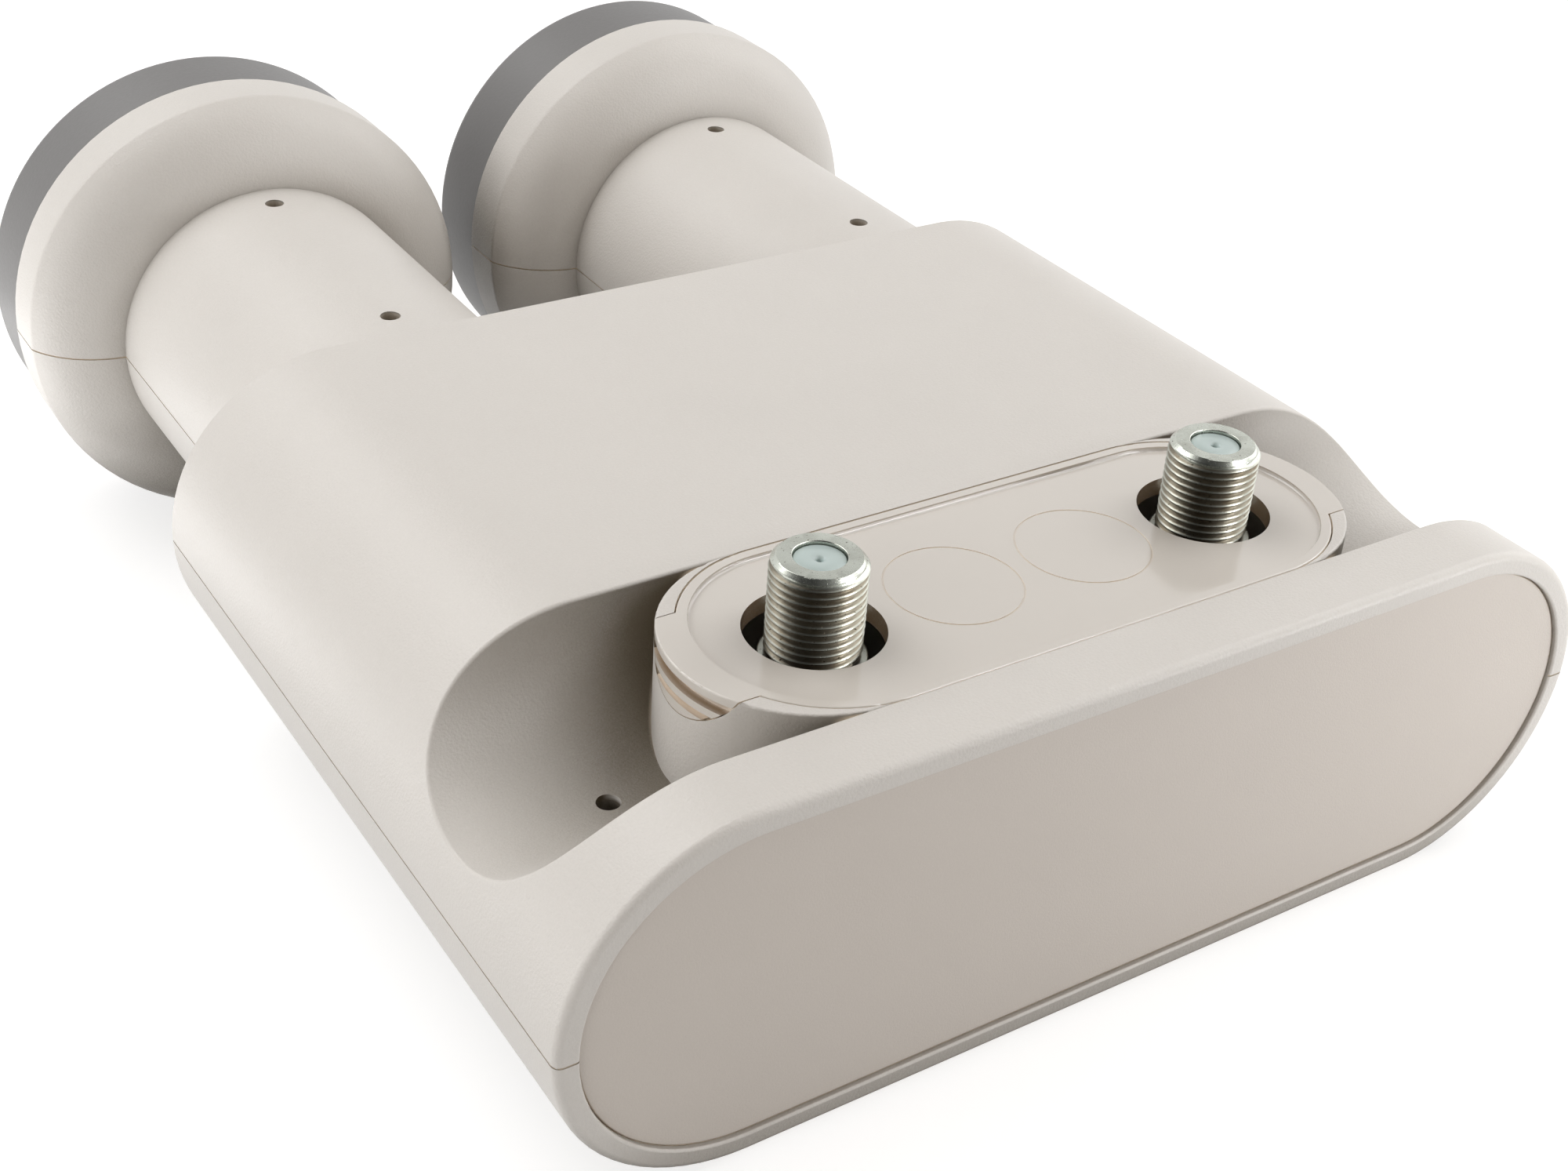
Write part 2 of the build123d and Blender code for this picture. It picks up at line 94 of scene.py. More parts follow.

# Narrow gaps: how far the test for them looks, how fast their painted colour sets in, and its share in the neck
# holes. The gap colour is painted light where it is paler than the plastic and painted shade where it is
# darker.
GAP_REACH = 1.2 * MM
GAP_RATE = 6
HOLE_SHARE = 0.4


def colour(name, description, default):
    """A colour that a user can change."""
    return FloatVectorProperty(
        name=name, description=description, subtype="COLOR", size=3, min=0, max=1, default=default
    )


def share(name, description, default):
    """A number from 0 to 1 that a user can change."""
    return FloatProperty(name=name, description=description, subtype="FACTOR", min=0, max=1, default=default)


def length(name, description, default):
    """A length that a user can change."""
    return FloatProperty(
        name=name, description=description, subtype="DISTANCE", unit="LENGTH", precision=6, default=default
    )


def angle(name, description, default):
    """An angle that a user can change, given in degrees."""
    return FloatProperty(
        name=name, description=description, subtype="ANGLE", unit="ROTATION", default=math.radians(default)
    )


def power(name, description, default):
    """A lamp's power that a user can change."""
    return FloatProperty(name=name, description=description, unit="POWER", min=0, default=default)


class HousingFinish(bpy.types.PropertyGroup):
    """Finish of the two moulded housing halves."""

    tint: colour("Colour", "Colour of the warm pale grey plastic", (0.745, 0.72, 0.686))
    mottle: share("Mottle", "How much the colour varies", 0.06)
    roughness: share("Roughness", "Roughness of the grained surface", 0.4)
    uneven: share("Uneven", "How much the roughness varies", 0.12)
    gloss: share("Gloss", "Strength of reflections, 0.5 for common plastic", 0.5)
    grain: length("Grain", "Width of one pit of the spark-eroded grain", 0.29 * MM)
    relief: length("Relief", "Depth of the grain", 0.076 * MM)
    # Painted shade: the crevice tint darkens corners and the finger pockets in the base colour, out to the
    # crevice reach.
    painted_shade_tint: colour("Crevice tint", "Tint that light takes on in corners and pockets", (0.16, 0.132, 0.088))
    reach: length("Crevice reach", "How wide the corners are that take on the tint", 22 * MM)
    # Painted light: the pale warm gap colour lights narrow gaps and the neck holes in the base colour.
    gap: colour("Gap colour", "Colour that shows in narrow gaps", (0.95, 0.86, 0.74))
    gap_limit: share("Gap limit", "How open a spot may be and still count as a gap", 0.44)


class PlateFinish(bpy.types.PropertyGroup):
    """Finish of the flat end plate."""

    tint: colour("Colour", "Colour of the plate", (0.705, 0.655, 0.605))
    mottle: share("Mottle", "How much the colour varies", 0.05)
    roughness: share("Roughness", "Roughness of the plate", 0.52)
    uneven: share("Uneven", "How much the roughness varies", 0.12)
    gloss: share("Gloss", "Strength of reflections, 0.5 for common plastic", 0.5)
    grain: length("Grain", "Width of one pit of the grain", 0.22 * MM)
    relief: length("Relief", "Depth of the grain", 0.034 * MM)
    # Painted shade: the crevice tint darkens the plate's edge in the base colour.
    painted_shade_tint: colour("Crevice tint", "Tint along the plate's edge", (0.62, 0.48, 0.33))
    reach: length("Crevice reach", "How wide the corners are that take on the tint", 2 * MM)
    # Painted shade: the dark gap colour darkens narrow gaps in the base colour.
    gap: colour("Gap colour", "Colour that shows in narrow gaps", (0.5, 0.42, 0.33))
    gap_limit: share("Gap limit", "How open a spot may be and still count as a gap", 0.44)


class ShieldFinish(bpy.types.PropertyGroup):
    """Finish of the sliding weather shield."""

    tint: colour("Colour", "Colour of the shield", (0.705, 0.67, 0.622))
    mottle: share("Mottle", "How much the colour varies", 0.015)
    roughness: share("Roughness", "Roughness of the polished plate", 0.14)
    uneven: share("Uneven", "How much the roughness varies", 0.03)
    gloss: share("Gloss", "Strength of reflections, 0.5 for common plastic", 1.0)
    grain: length("Grain", "Width of one wave of the faint unevenness", 3.0 * MM)
    relief: length("Relief", "Depth of the faint unevenness", 0.004 * MM)
    # Painted shade: the crevice tint darkens the insides of the holes in the base colour.
    painted_shade_tint: colour("Crevice tint", "Tint that light takes on inside the holes", (0.42, 0.26, 0.11))
    reach: length("Crevice reach", "How wide the corners are that take on the tint", 6 * MM)
    # Painted light: the pale gap colour lights the grooves and narrow gaps in the base colour.
    gap: colour("Gap colour", "Colour that shows in grooves and narrow gaps", (1.0, 0.91, 0.8))
    gap_limit: share("Gap limit", "How open a spot may be and still count as a gap", 0.64)


class CapFinish(bpy.types.PropertyGroup):
    """Finish of the caps over the feed horns."""

    tint: colour("Colour", "Colour of the dark grey plastic", (0.178, 0.175, 0.174))
    mottle: share("Mottle", "How much the colour varies", 0.04)
    roughness: share("Roughness", "Roughness of the satin surface", 0.42)
    uneven: share("Uneven", "How much the roughness varies", 0.12)
    gloss: share("Gloss", "Strength of reflections, 0.5 for common plastic", 0.5)
    grain: length("Grain", "Width of one pit of the grain", 0.5 * MM)
    relief: length("Relief", "Depth of the grain", 0.03 * MM)
    # Painted shade: the crevice tint darkens the cap where it meets the flange, in the base colour.
    painted_shade_tint: colour("Crevice tint", "Tint where the cap meets the flange", (0.6, 0.6, 0.6))
    reach: length("Crevice reach", "How wide the corners are that take on the tint", 1.5 * MM)
    # Painted shade: the dark gap colour darkens narrow gaps in the base colour.
    gap: colour("Gap colour", "Colour that shows in narrow gaps", (0.1, 0.1, 0.1))
    gap_limit: share("Gap limit", "How open a spot may be and still count as a gap", 0.44)


class SocketFinish(bpy.types.PropertyGroup):
    """Thread and plating of the coaxial sockets, and their insulators."""

    tint: colour("Colour", "Colour of the nickel plate", (0.56, 0.58, 0.52))
    # The tarnish colour serves real stains and also the painted shade in the thread's valleys.
    stain_and_shade_colour: colour("Tarnish", "Colour of the stained plate in the thread", (0.1, 0.072, 0.04))
    roughness: share("Roughness", "Roughness of the clean plate", 0.2)
    pitch: length("Pitch", "Rise of one turn of the thread, 32 turns to the inch", 25.4 / 32 * MM)
    depth: length("Depth", "Depth of the thread", 0.44 * MM)
    chamfer: length("Chamfer", "Chamfer at the end of the thread", 0.7 * MM)
    foot: length("Foot", "Depth of the thread's run-out at the collar", 0.15 * MM)
    sink: length("Sink", "How far the insulator lies below the end ring", 0.35 * MM)
    segments: IntProperty(name="Segments", description="Facets round the thread", min=24, default=72)
    insulator: colour("Insulator", "Colour of the white insulator", (0.58, 0.69, 0.68))


class StageSettings(bpy.types.PropertyGroup):
    """Floor, light and camera."""

    paper: colour("Paper", "Colour of the floor", (0.5, 0.5, 0.5))
    glow: share("Glow", "White that the camera sees on top of the paper", 0.72)
    ambient: share("Ambient", "Level of the even light", 0.2)
    room: colour("Room", "Colour of the even light", (1.0, 0.86, 0.72))
    rear_watts: power("Rear box", "Power of the rear softbox", 2.9)
    right_watts: power("Right boxes", "Power of the high right softbox, which the low one follows", 2.3)
    left_watts: power("Left boxes", "Power of the low left softbox, which the front one follows", 0.38)
    card_watts: power("Left card", "Power of the card of light on the floor", 0.36)
    edge_watts: power("Edge box", "Power of the softbox that only reflections show", 0.65)
    fill_watts: power("Fill", "Power of the small fill light", 0.27)
    eye: FloatVectorProperty(
        name="Eye",
        description="Where the camera stands",
        subtype="XYZ",
        unit="LENGTH",
        size=3,
        default=(-121.9 * MM, -198.1 * MM, 161.1 * MM),
    )
    azimuth: angle("Azimuth", "Turn of the camera about the vertical", -34.59)
    elevation: angle("Elevation", "How far the camera looks down", 32.57)
    roll: angle("Roll", "Turn of the camera about its own axis", 4.07)
    lens: FloatProperty(name="Lens", description="Focal length", unit="CAMERA", default=48.92)


class Lamp(NamedTuple):
    """A square softbox: where it stands, how wide it is and which setting gives its power."""

    name: str
    place: tuple
    size: float
    setting: str
    factor: float = 1.0
    aim: tuple = (0, 0, 30 * MM)
    hidden_from: tuple = ()


LAMPS = (
    Lamp("rear_box", (-0.246, 0.427, 0.66), 0.55, "rear_watts"),
    Lamp("right_high_box", (0.493, 0, 0.66), 0.55, "right_watts"),
    Lamp("right_low_box", (0.742, 0, 0.33), 0.55, "right_watts", factor=0.55),
    Lamp("left_low_box", (-0.45, 0.08, 0.13), 0.32, "left_watts"),
    Lamp("left_front_box", (-0.4, -0.2, 0.13), 0.3, "left_watts", factor=1.35, hidden_from=("glossy",)),
    Lamp("left_card", (-0.2, 0.02, 0.001), 0.24, "card_watts", aim=(-0.2, 0.02, 1)),
    Lamp("edge_box", (0.2425, -0.326, 0.355), 0.14, "edge_watts", hidden_from=("diffuse",)),
    Lamp("fill", (0.14, -0.22, 0.03), 0.1, "fill_watts"),
)


class Wire:
    """A socket of a node tree that takes part in arithmetic: each operator adds a Math node."""

    def __init__(self, tree, socket=None):
        self.tree = tree
        self.socket = socket

    def node(self, kind, settings=None, inputs=None, output=0):
        """Add a node with its settings and the values or wires of its inputs, and give one output."""
        added = self.tree.nodes.new(kind)
        for name, value in (settings or {}).items():
            setattr(added, name, value)
        for key, value in (inputs or {}).items():
            if isinstance(value, Wire):
                self.tree.links.new(value.socket, added.inputs[key])
            else:
                added.inputs[key].default_value = value
        return Wire(self.tree, added.outputs[output])

    def math(self, operation, *values):
        """A Math node of these values."""
        return self.node("ShaderNodeMath", {"operation": operation}, dict(enumerate(values)))

    def mix(self, first, second):
        """A colour that goes from the first to the second as this value goes from 0 to 1."""
        blend = {"data_type": "RGBA", "blend_type": "MIX"}
        return self.node("ShaderNodeMix", blend, {0: self, 6: first, 7: second}, output=2)

    def part(self, axis):
        """One component of this vector."""
        return self.node("ShaderNodeSeparateXYZ", None, {0: self}, axis)

    def clamped(self):
        """This value held between 0 and 1."""
        return self.math("MINIMUM", self.math("MAXIMUM", self, 0.0), 1.0)

    def above(self, start, rate):
        """0 up to a start, and from there rising at a rate until it is 1."""
        return ((self - start) * rate).clamped()

    def below(self, start, rate):
        """0 down to a start, and from there rising at a rate until it is 1."""
        return ((start - self) * rate).clamped()

    def __abs__(self):
        return self.math("ABSOLUTE", self)

    def __add__(self, other):
        return self.math("ADD", self, other)

    def __sub__(self, other):
        return self.math("SUBTRACT", self, other)

    def __rsub__(self, other):
        return self.math("SUBTRACT", other, self)

    def __mul__(self, other):
        return self.math("MULTIPLY", self, other)

    def __truediv__(self, other):
        return self.math("DIVIDE", self, other)

    __radd__ = __add__
    __rmul__ = __mul__


def rgba(values):
    """A colour with full cover."""
    return (*values, 1.0)


def tinted(values, tint):
    """One colour multiplied by another."""
    return [value * kept for value, kept in zip(values, tint)]


def new_material(name):
    """A material with one Principled shader, and a wire to start its nodes from."""
    material = bpy.data.materials.new(name)
    material.use_nodes = True
    shader = next(n for n in material.node_tree.nodes if n.type == "BSDF_PRINCIPLED")
    return material, shader, Wire(material.node_tree)


def plug(wire, shader, name):
    """Feed a wire into one of the shader's sockets."""
    wire.tree.links.new(wire.socket, shader.inputs[name])


def plug_bump(height, shader, distance, strength=1.0):
    """Let a height feed the shader's normal."""
    bump = height.node("ShaderNodeBump", None, {"Strength": strength, "Distance": distance, "Height": height})
    plug(bump, shader, "Normal")


def noise(place, width, detail=2.0):
    """A cloudy value from 0 to 1 whose blotches have about the given width."""
    return place.node(
        "ShaderNodeTexNoise",
        {"noise_dimensions": "3D"},
        {"Vector": place, "Scale": 1 / width, "Detail": detail, "Roughness": 0.55},
        output="Fac",
    )


def hypot(first, second):
    """Length of two steps at right angles."""
    return first.math("SQRT", first * first + second * second)


def band(wire, middle, half_width, fade):
    """1 within half a width of a middle value, fading to 0 outside it."""
    return abs(wire - middle).below(half_width + fade, 1 / fade)


def open_sky(start, reach, samples):
    """The share of its surroundings within reach that a point sees as open."""
    return start.node("ShaderNodeAmbientOcclusion", {"samples": samples}, {"Distance": reach}, "AO")


def centre_of(node):
    """Middle of a node's box."""
    low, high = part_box(node)
    return (low + high) / 2


def mount_named(name):
    """One of the record's mounts."""
    return next(mount for mount in frame["record"]["mounts"] if mount["name"] == name)


def pocket_zone(place):
    """1 in the finger pockets at the two ends of the outlet, 0 elsewhere and in the holes in their floors."""
    half_width, side_fade = 15 * MM, 3 * MM
    floor_level, floor_fade = 36.4 * MM, 0.4 * MM
    beside = band(place.part("Y"), centre_of("weather_shield").y, half_width, side_fade)
    return beside * place.part("Z").above(floor_level, 1 / floor_fade)


def neck_bores(place):
    """1 on the walls of the drain holes in the necks, 0 on the outside of the necks."""
    collar = mount_named("right_collar")
    axis = Vector(collar["pos_m"])
    neck_radius = collar["dims"]["r_mm"] * MM
    half_length = collar["dims"]["length_mm"] * MM / 2
    skin, skin_fade = 0.1 * MM, 0.15 * MM
    end_margin, end_fade = 1 * MM, 0.5 * MM
    radius = hypot(abs(place.part("X")) - axis.x, place.part("Z") - axis.z)
    sunk = radius.below(neck_radius - skin, 1 / skin_fade)
    return sunk * band(place.part("Y"), axis.y, half_length - end_margin, end_fade)


def corner_shade(start, reach, pockets=None):
    """How deep a point lies in a corner; pockets count as deeper, but not where they face the left light."""
    sky = open_sky(start, reach, samples=4)
    if pockets is None:
        return sky.below(SHADE_START, SHADE_RATE)
    leftward = (0.0 - start.node("ShaderNodeTexCoord", output="Normal").part("X")).clamped()
    deep = sky.below(SHADE_START + POCKET_EXTRA * pockets, HOUSING_SHADE_RATE)
    return deep * (1 - POCKET_LIGHT * leftward * pockets)


def moulded_plastic(name, finish, is_housing=False):
    """Grained plastic: faint mottling, a spark-eroded grain, shade in corners and warm light in narrow gaps."""
    cloud_width, cloud_share = 14 * MM, 0.4
    speck_width, ripple_width = 0.9 * finish.grain, 3.2 * finish.grain
    pit_share = 0.88
    material, shader, start = new_material(name)
    place = start.node("ShaderNodeTexCoord", output="Object")
    cloud = noise(place, cloud_width)
    speck = noise(place, speck_width, FINE)
    pits = noise(place, finish.grain, FINE)
    ripple = noise(place, ripple_width, 1.0)
    # Painted shade in corners, and on the housing deeper in the finger pockets, mixed towards the crevice tint.
    deep = corner_shade(start, finish.reach, pocket_zone(place) if is_housing else None)
    # Painted gap colour in narrow gaps: painted light where it is paler than the plastic, painted shade where
    # it is darker.
    gap = open_sky(start, GAP_REACH, samples=8).below(finish.gap_limit, GAP_RATE)
    # On the housing the neck holes take a share of the painted gap light.
    if is_housing:
        gap = start.math("MAXIMUM", gap, HOLE_SHARE * neck_bores(place))
    light = [min(1.0, value * (1 + finish.mottle)) for value in finish.tint]
    dark = [value * (1 - finish.mottle) for value in finish.tint]
    surface = (cloud_share * cloud + (1 - cloud_share) * speck).mix(rgba(dark), rgba(light))
    shaded = deep.mix(surface, rgba(tinted(finish.tint, finish.painted_shade_tint)))
    plug(gap.mix(shaded, rgba(finish.gap)), shader, "Base Color")
    plug(finish.roughness - finish.uneven / 2 + finish.uneven * pits, shader, "Roughness")
    plug_bump(pit_share * pits + (1 - pit_share) * ripple, shader, finish.relief)
    shader.inputs["Specular IOR Level"].default_value = finish.gloss
    return material


def thread_valley(place, finish):
    """0 on the end ring, little on the thread's crests and 1 at the bottom of its valleys."""
    crest_margin, valley_start = 0.03 * MM, 0.3 * finish.depth
    crest_shade, end_fade = 0.3, 0.2 * MM
    axis = centre_of("f_connector_right")
    crest = mount_named("right_output")["dims"]["r_mm"] * MM
    thread_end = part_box("f_connector_right")[1].z - finish.chamfer
    radius = hypot(abs(place.part("X")) - axis.x, place.part("Y") - axis.y)
    sunk = radius.below(crest - crest_margin, 1 / valley_start)
    return (crest_shade + (1 - crest_shade) * sunk) * place.part("Z").below(thread_end, 1 / end_fade)


def nickel_plate(finish):
    """Bright plate, stained brown in patches and in the thread's valleys, with small dark pits."""
    stain_width, scratch_width, pit_width = 2.4 * MM, 0.35 * MM, 0.28 * MM
    pit_tint = (0.4, 0.4, 0.4)
    material, shader, start = new_material("nickel plate")
    place = start.node("ShaderNodeTexCoord", output="Object")
    scratch = noise(place, scratch_width, FINE)
    pits = noise(place, pit_width).above(0.66, rate=12)
    stained = noise(place, stain_width, 4.0).above(0.42, rate=2.2)
    valley = thread_valley(place, finish)
    # Real stains in patches, and painted shade in the thread's valleys.
    stain_and_shade_mask = start.math("MAXIMUM", 0.35 * stained, valley * (0.8 + 0.2 * stained))
    plate = stain_and_shade_mask.mix(rgba(finish.tint), rgba(finish.stain_and_shade_colour))
    plug(pits.mix(plate, rgba(tinted(finish.stain_and_shade_colour, pit_tint))), shader, "Base Color")
    plug(finish.roughness + 0.12 * scratch + 0.25 * pits + 0.1 * valley, shader, "Roughness")
    plug_bump(0.6 * scratch - pits, shader, 0.02 * MM, strength=0.6)
    shader.inputs["Metallic"].default_value = 1.0
    return material


def plain_finish(name, tint, roughness, metallic=0.0, grain=0.6 * MM, relief=0.01 * MM):
    """A plain finish with a little mottling and grain, for small and inner pieces."""
    darker = (0.9, 0.9, 0.9)
    uneven = 0.1
    material, shader, start = new_material(name)
    place = start.node("ShaderNodeTexCoord", output="Object")
    cloud = noise(place, 3 * grain)
    pits = noise(place, grain, FINE)
    plug(cloud.mix(rgba(tinted(tint, darker)), rgba(tint)), shader, "Base Color")
    plug(roughness - uneven / 2 + uneven * pits, shader, "Roughness")
    plug_bump(pits, shader, relief, strength=0.8)
    shader.inputs["Metallic"].default_value = metallic
    return material


def mesh_from(work, name):
    """A mesh of what a bmesh holds, which is then freed."""
    mesh = bpy.data.meshes.new(name)
    work.to_mesh(mesh)
    work.free()
    return mesh


def link_piece(name, mesh, material):
    """A new object of a mesh, in the scene and with one material."""
    piece = bpy.data.objects.new(name, mesh)
    bpy.context.scene.collection.objects.link(piece)
    mesh.materials.clear()
    mesh.materials.append(material)
    return piece


def bake_modifiers(piece):
    """Turn what a piece's modifiers give into its plain mesh."""
    graph = bpy.context.evaluated_depsgraph_get()
    mesh = bpy.data.meshes.new_from_object(piece.evaluated_get(graph))
    piece.modifiers.clear()
    piece.data = mesh


def even_normals(piece, crease):
    """Smooth shading that keeps edges sharper than the crease angle and flat faces flat."""
    piece.data.shade_smooth()
    piece.data.set_sharp_from_angle(angle=crease)
    weighted = piece.modifiers.new("even normals", "WEIGHTED_NORMAL")
    weighted.mode = "FACE_AREA_WITH_ANGLE"
    weighted.weight = 90
    weighted.keep_sharp = True
    bake_modifiers(piece)


def seat(piece, body, slot, *nodes):
    """Let a finished piece ride on its body in place of the nodes that it stands for."""
    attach(piece, body)
    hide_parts(*nodes)


def dressed_copy(name, node, body, slot, material):
    """A welded and smoothly shaded copy of a CAD node, which stands in its place."""
    work = bmesh.new()
    work.from_mesh(frame["nodes"][node].data)
    bmesh.ops.remove_doubles(work, verts=work.verts, dist=WELD)
    mesh = mesh_from(work, name)
    if "custom_normal" in mesh.attributes:
        mesh.attributes.remove(mesh.attributes["custom_normal"])
    piece = link_piece(name, mesh, material)
    even_normals(piece, SHELL_CREASE)
    seat(piece, body, slot, node)


def lathe(profile, axis, segments):
    """Turn a profile of (radius, height) points about an upright axis."""
    work = bmesh.new()
    rings = []
    for radius, height in profile:
        ring = []
        for step in range(segments):
            turn = FULL_TURN * step / segments
            spot = (axis.x + radius * math.cos(turn), axis.y + radius * math.sin(turn), height)
            ring.append(work.verts.new(spot))
        rings.append(ring)
    for lower, upper in zip(rings, rings[1:]):
        for step in range(segments):
            after = (step + 1) % segments
            work.faces.new((lower[step], lower[after], upper[after], upper[step]))
    return work


def corner_arc(before, corner, after, radius, steps=4):
    """Points of a round that eases a right-angled corner of a profile."""
    corner, before, after = Vector(corner), Vector(before), Vector(after)
    start = corner + (before - corner).normalized() * radius
    end = corner + (after - corner).normalized() * radius
    middle = start + end - corner
    points = []
    for step in range(steps + 1):
        turn = math.pi / 2 * step / steps
        points.append(middle + (start - middle) * math.cos(turn) + (end - middle) * math.sin(turn))
    return [tuple(point) for point in points]


def thread_tree(material):
    """Node tree that adds a helical thread skin to a socket's body."""
    steepness, flat = 1.3, 0.15
    tree = bpy.data.node_groups.new("socket thread", "GeometryNodeTree")
    tree.interface.new_socket("Body", in_out="INPUT", socket_type="NodeSocketGeometry")
    tree.interface.new_socket("Segments", in_out="INPUT", socket_type="NodeSocketInt")
    tree.interface.new_socket("Rows per turn", in_out="INPUT", socket_type="NodeSocketInt")
    for name in ("Crest radius", "Depth", "Pitch", "Length", "Chamfer", "Foot"):
        tree.interface.new_socket(name, in_out="INPUT", socket_type="NodeSocketFloat")
    tree.interface.new_socket("Foot centre", in_out="INPUT", socket_type="NodeSocketVector")
    tree.interface.new_socket("Socket", in_out="OUTPUT", socket_type="NodeSocketGeometry")
    entry = tree.nodes.new("NodeGroupInput")
    size = {socket.name: Wire(tree, socket) for socket in entry.outputs if socket.name}
    start = Wire(tree)
    pitch, depth, crest = size["Pitch"], size["Depth"], size["Crest radius"]
    turns = start.math("CEIL", size["Length"] / pitch) + 1
    rows = turns * size["Rows per turn"] + 1
    sheet = start.node("GeometryNodeMeshGrid", None, {"Vertices X": size["Segments"] + 1, "Vertices Y": rows})
    spot = start.node("GeometryNodeInputPosition")
    across = spot.part("X") + 0.5
    level = (spot.part("Y") + 0.5) * turns - 1
    height = start.math("MINIMUM", start.math("MAXIMUM", (level + across) * pitch, 0.0), size["Length"])
    phase = start.math("FRACT", level + 2)
    ridge = ((1 - abs(2 * phase - 1)) * steepness - flat).clamped()
    flank = crest - depth + depth * ridge
    end_cone = crest - size["Chamfer"] + size["Length"] - height
    foot_cone = crest - depth - size["Foot"] + height
    radius = start.math("MINIMUM", flank, start.math("MINIMUM", end_cone, foot_cone))
    turn = across * FULL_TURN
    sides = {"X": radius * start.math("COSINE", turn), "Y": radius * start.math("SINE", turn), "Z": height}
    place = start.node("ShaderNodeCombineXYZ", None, sides)
    skin = start.node("GeometryNodeSetPosition", None, {"Geometry": sheet, "Position": place})
    skin = start.node("GeometryNodeTransform", None, {"Geometry": skin, "Translation": size["Foot centre"]})
    whole = start.node("GeometryNodeJoinGeometry", None, {"Geometry": size["Body"]})
    tree.links.new(skin.socket, whole.socket.node.inputs["Geometry"])
    welded = start.node("GeometryNodeMergeByDistance", None, {"Geometry": whole, "Distance": WELD})
    real = start.node("GeometryNodeRealizeInstances", None, {"Geometry": welded})
    done = start.node("GeometryNodeSetMaterial", None, {"Geometry": real, "Material": material})
    leave = tree.nodes.new("NodeGroupOutput")
    tree.links.new(done.socket, leave.inputs["Socket"])
    return tree


def set_inputs(modifier, values):
    """Set a node modifier's inputs by the names of its tree's sockets."""
    for item in modifier.node_group.interface.items_tree:
        if item.in_out == "INPUT" and item.name in values:
            modifier[item.identifier] = values[item.name]


def socket_body(side, finish):
    """The turned body of a socket, apart from its thread: end ring, bore, spigot and collar."""
    bore_clearance, lip_round, rim_round = 0.05 * MM, 0.12 * MM, 0.25 * MM
    spigot_radius, collar_height = 4.0 * MM, 3.0 * MM
    node = f"f_connector_{side}"
    low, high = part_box(node)
    axis = centre_of(node)
    thread = mount_named(f"{side}_output")["dims"]
    crest = thread["r_mm"] * MM
    collar_top = high.z - finish.chamfer - thread["length_mm"] * MM
    collar_bottom = collar_top - collar_height
    collar_radius = (high.x - low.x) / 2
    insulator_low, insulator_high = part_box(f"f_insulator_{side}")
    bore = (insulator_high.x - insulator_low.x) / 2 + bore_clearance
    ring_outer = crest - finish.chamfer
    foot_radius = crest - finish.depth - finish.foot
    lip = corner_arc((ring_outer, high.z), (bore, high.z), (bore, low.z), lip_round)
    rim_corner = (collar_radius, collar_top)
    rim = corner_arc((collar_radius, low.z), rim_corner, (foot_radius, collar_top), rim_round)
    profile = [(ring_outer, high.z), *lip, (bore, low.z), (spigot_radius, low.z)]
    profile += [(spigot_radius, collar_bottom), (collar_radius, collar_bottom), *rim, (foot_radius, collar_top)]
    work = lathe(profile, axis, finish.segments)
    bmesh.ops.recalc_face_normals(work, faces=work.faces)
    foot_centre = Vector((axis.x, axis.y, collar_top))
    return mesh_from(work, f"socket_{side}"), foot_centre, crest, high.z - collar_top


def insulator_body(side, finish):
    """The insulator: a plug with a funnel that leads the cable's wire into its hole."""
    edge, entry, funnel = 0.1 * MM, 0.3 * MM, 0.62 * MM
    node = f"f_insulator_{side}"
    low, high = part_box(node)
    axis = centre_of(node)
    outer = (high.x - low.x) / 2
    points = [vertex.co - axis for vertex in frame["nodes"][node].data.vertices]
    hole = min(math.hypot(point.x, point.y) for point in points)
    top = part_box(f"f_connector_{side}")[1].z - finish.sink
    hole_top, entry_foot, funnel_foot, funnel_lip = (top - depth * MM for depth in (1.2, 0.9, 0.4, 0.05))
    profile = [(hole, low.z), (hole, hole_top), (entry, entry_foot), (entry, funnel_foot)]
    profile += [(funnel - edge, funnel_lip), (funnel + edge, top)]
    profile += [(outer - edge, top), (outer, top - edge), (outer, low.z), (hole, low.z)]
    work = lathe(profile, axis, finish.segments)
    bmesh.ops.remove_doubles(work, verts=work.verts, dist=WELD)
    bmesh.ops.recalc_face_normals(work, faces=work.faces)
    return mesh_from(work, f"insulator_{side}")


class LNB_OT_housing(bpy.types.Operator):
    """Dress both halves of the moulded housing"""

    bl_idname = "lnb.housing"
    bl_label = "Housing halves"

    def execute(self, context):
        plastic = moulded_plastic("housing plastic", context.scene.lnb_housing, is_housing=True)
        for half in ("upper", "lower"):
            dressed_copy(f"{half}_shell", f"{half}_housing", "housing", "housing", plastic)
        return {"FINISHED"}


class LNB_OT_end_plate(bpy.types.Operator):
    """Dress the plate in the near end"""

    bl_idname = "lnb.end_plate"
    bl_label = "End plate"

    def execute(self, context):
        plastic = moulded_plastic("plate plastic", context.scene.lnb_plate)
        dressed_copy("closing_plate", "end_plate", "housing", "end_plate", plastic)
        return {"FINISHED"}


class LNB_OT_shield(bpy.types.Operator):
    """Dress the sliding weather shield"""

    bl_idname = "lnb.shield"
    bl_label = "Weather shield"

    def execute(self, context):
        plastic = moulded_plastic("shield plastic", context.scene.lnb_shield)
        dressed_copy("sliding_shield", "weather_shield", "shield", "shield", plastic)
        return {"FINISHED"}


class LNB_OT_caps(bpy.types.Operator):
    """Dress the caps over the feed horns"""

    bl_idname = "lnb.caps"
    bl_label = "Feed caps"

    def execute(self, context):
        plastic = moulded_plastic("cap plastic", context.scene.lnb_cap)
        for side in SIDES:
            dressed_copy(f"horn_cap_{side}", f"feed_cap_{side}", "housing", "cap", plastic)
        return {"FINISHED"}


